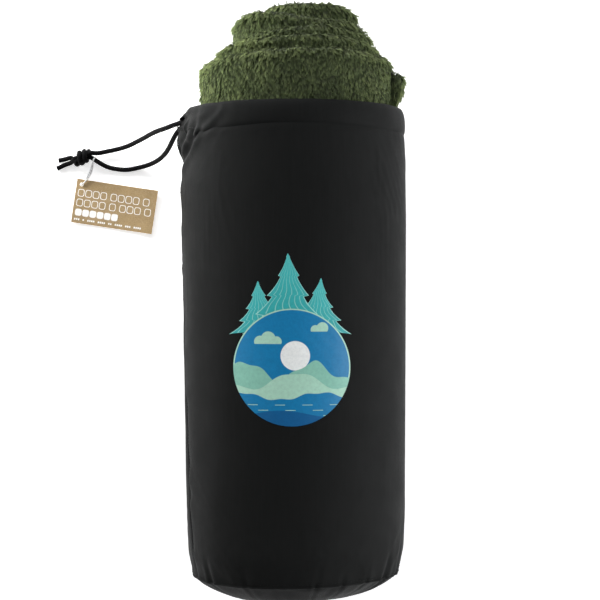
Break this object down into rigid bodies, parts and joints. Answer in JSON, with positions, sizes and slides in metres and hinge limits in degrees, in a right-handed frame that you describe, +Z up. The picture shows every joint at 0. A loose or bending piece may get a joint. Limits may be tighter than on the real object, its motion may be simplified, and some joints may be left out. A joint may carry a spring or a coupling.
{
  "type": "camp blanket",
  "caption": "Rolled plush throw blanket in a round-bottomed drawstring pouch, lying on its back, with a knotted cord and a hang tag.",
  "frame": {"origin": "centre of the pouch and blanket's footprint, on the floor it lies on", "axes": "+Y along the pouch towards its mouth, +Z up from the floor through the printed face, +X to the right seen from above with the mouth away"},
  "size_m": [0.2711, 0.448, 0.1523],
  "materials": {
    "plush": "short-pile plush, olive green",
    "hem_thread": "overlock thread",
    "polyester": "plain-weave black polyester, faint sheen",
    "black_thread": "spun polyester thread",
    "badge_ink": "matt screen-print ink",
    "braid": "braided polyester cord",
    "clear_loop": "clear flexible plastic",
    "kraft_card": "uncoated kraft card",
    "white_ink": "matt ink"
  },
  "bodies": {
    "pouch": {"pouch_body": "polyester", "pouch_base": "polyester", "pouch_casing": "polyester", "side_seam": "black_thread", "base_seam": "black_thread", "casing_stitching": "black_thread", "cord_exit_tacks": "black_thread", "badge_print": "badge_ink", "drawcord_in_casing": "braid", "cord_upper": "braid", "cord_lower": "braid", "cord_knot": "braid", "cord_tails": "braid"},
    "blanket": {"blanket": "plush", "blanket_hem": "hem_thread"},
    "loop": {"tag_loop": "clear_loop"},
    "tag": {"hang_tag": "kraft_card", "tag_print": "white_ink"}
  },
  "joints": [
    {"name": "blanket_slide", "type": "slide", "parent": "pouch", "child": "blanket", "axis": [0, 1, 0], "range_m": [0, 0.36]},
    {"name": "tag_loop_swivel", "type": "hinge", "parent": "pouch", "child": "loop", "pos_m": [-0.1572, 0.1094, 0.004], "axis": [0, 0, 1], "range_deg": [-20, 8]},
    {"name": "tag_swivel", "type": "hinge", "parent": "loop", "child": "tag", "pos_m": [-0.1696, 0.0921, 0.0016], "axis": [0, 0, 1], "range_deg": [-60, 8]}
  ]
}
